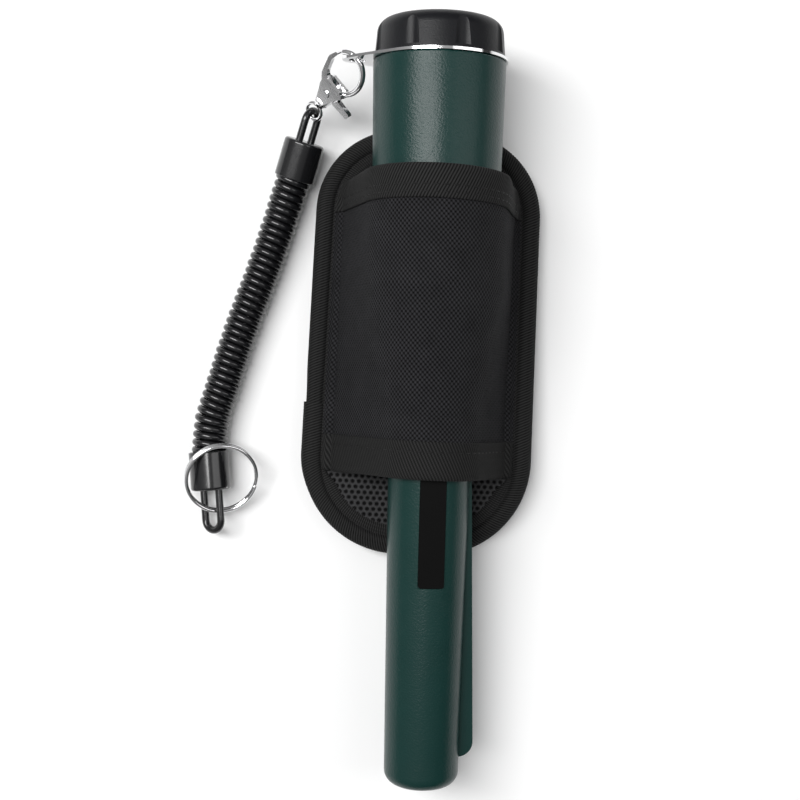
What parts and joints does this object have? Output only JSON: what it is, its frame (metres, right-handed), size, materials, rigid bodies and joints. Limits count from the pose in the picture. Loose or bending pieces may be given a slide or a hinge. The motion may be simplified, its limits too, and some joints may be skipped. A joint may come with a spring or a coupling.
{
  "type": "pinpointer probe",
  "caption": "Hand-held metal detecting pinpointer probe with screw battery cap, sheathed in a padded belt holster and clipped to a coiled lanyard with a key ring.",
  "frame": {"origin": "middle of the belt loop's back face, the side that lies against the wearer", "axes": "+Z out of the holster's front, +Y along the holster towards the probe's battery cap, +X towards the side with the scraper blade"},
  "size_m": [0.1072, 0.2285, 0.0526],
  "materials": {
    "green_plastic": "satin",
    "black_plastic": "satin",
    "cap_plastic": "satin",
    "white_plastic": "satin",
    "board": "satin",
    "switch": "satin",
    "lamp": "gloss",
    "lens": "gloss",
    "battery": "satin",
    "motor": "brushed",
    "ferrite": "matte",
    "copper": "satin",
    "lead_red": "satin",
    "lead_black": "satin",
    "seal": "satin",
    "foam": "matte",
    "steel": "polished",
    "cover_cloth": "matte",
    "pocket_cloth": "woven",
    "tape": "ribbed",
    "webbing": "woven",
    "sleeve": "gloss",
    "cord": "gloss"
  },
  "bodies": {
    "holster": {"back_cover": "cover_cloth", "foam_core": "foam", "pad_lining": "cover_cloth", "edge_binding": "tape", "belt_loop": "webbing", "belt_loop_upper_end": "webbing", "belt_loop_lower_end": "webbing", "pocket_panel": "pocket_cloth", "pocket_top_binding": "tape", "pocket_bottom_binding": "tape"},
    "probe": {"main_housing": "green_plastic", "label_plate": "black_plastic", "circuit_board": "board", "tact_switch": "switch", "led": "lamp", "led_lens": "lens", "speaker": "switch", "battery_9v": "battery", "battery_snap": "black_plastic", "battery_divider": "black_plastic", "vibration_motor": "motor", "ferrite_rod": "ferrite", "coil_bobbin": "white_plastic", "search_coil": "copper", "tip_cushion": "foam", "battery_lead_red": "lead_red", "battery_lead_black": "lead_black", "coil_lead_start": "lead_black", "coil_lead_end": "lead_black"},
    "button": {"power_button": "black_plastic"},
    "motor_rotor": {"motor_weight": "motor"},
    "cap_seal": {"cap_o_ring": "seal", "cap_foam_pad": "foam"},
    "cap": {"battery_cap": "cap_plastic"},
    "ring": {"lanyard_ring": "steel"},
    "snap_hook": {"hook_body": "steel", "trigger_spring": "steel", "trigger_rivet": "steel"},
    "trigger": {"hook_trigger": "steel"},
    "swivel": {"swivel_eye": "steel"},
    "cord_upper": {"top_sleeve": "sleeve", "top_loop": "cord", "coil_cord": "cord"},
    "cord_lower": {"bottom_sleeve": "sleeve", "bottom_loop": "cord"},
    "split_ring": {"key_ring": "steel"}
  },
  "joints": [
    {"name": "probe_slide", "type": "slide", "parent": "holster", "child": "probe", "axis": [-0.0216, 0.998, 0.0593], "range_m": [0, 0.24]},
    {"name": "button_press", "type": "slide", "parent": "probe", "child": "button", "axis": [-0.1058, 0.0567, -0.9928], "range_m": [0, 0.0006], "stiffness_N_per_m": 400},
    {"name": "motor_spin", "type": "hinge", "parent": "probe", "child": "motor_rotor", "pos_m": [0.00294, -0.02994, 0.02159], "axis": [-0.0216, 0.998, 0.0593], "continuous": true},
    {"name": "cap_lift", "type": "slide", "parent": "probe", "child": "cap_seal", "axis": [-0.0216, 0.998, 0.0593], "range_m": [0, 0.012]},
    {"name": "cap_turn", "type": "hinge", "parent": "cap_seal", "child": "cap", "pos_m": [0.00096, 0.0816, 0.0324], "axis": [-0.0216, 0.998, 0.0593], "range_deg": [0, 1440]},
    {"name": "ring_turn", "type": "hinge", "parent": "probe", "child": "ring", "pos_m": [0.00096, 0.0816, 0.0324], "axis": [-0.0216, 0.998, 0.0593], "range_deg": [0, 180]},
    {"name": "hook_swing", "type": "hinge", "parent": "ring", "child": "snap_hook", "pos_m": [-0.02334, 0.0815, 0.03243], "axis": [-0.0216, 0.998, 0.0593], "range_deg": [0, 110]},
    {"name": "trigger_open", "type": "hinge", "parent": "snap_hook", "child": "trigger", "pos_m": [-0.03183, 0.07413, 0.01994], "axis": [0.5609, 0.4875, -0.6691], "range_deg": [0, 7], "stiffness_Nm_per_rad": 0.02},
    {"name": "hook_swivel", "type": "hinge", "parent": "snap_hook", "child": "swivel", "pos_m": [-0.03678, 0.06983, 0.01266], "axis": [-0.505, -0.439, -0.7431], "range_deg": [0, 90]},
    {"name": "cord_swing", "type": "hinge", "parent": "swivel", "child": "cord_upper", "pos_m": [-0.03678, 0.06983, 0.01266], "axis": [0.5609, 0.4875, -0.6691], "range_deg": [0, 75]},
    {"name": "cord_stretch", "type": "slide", "parent": "cord_upper", "child": "cord_lower", "axis": [-0.2562, -0.9664, -0.019], "range_m": [0, 0.3], "stiffness_N_per_m": 15, "deforming": ["coil_cord"]},
    {"name": "key_ring_turn", "type": "hinge", "parent": "cord_lower", "child": "split_ring", "pos_m": [-0.06049, -0.04507, 0.00907], "axis": [0.2702, -0.3325, 0.9036], "continuous": true}
  ],
  "couplings": [
    {"joint": "cap_lift", "follows": "cap_turn", "m_per_rad": 0.00047746}
  ]
}
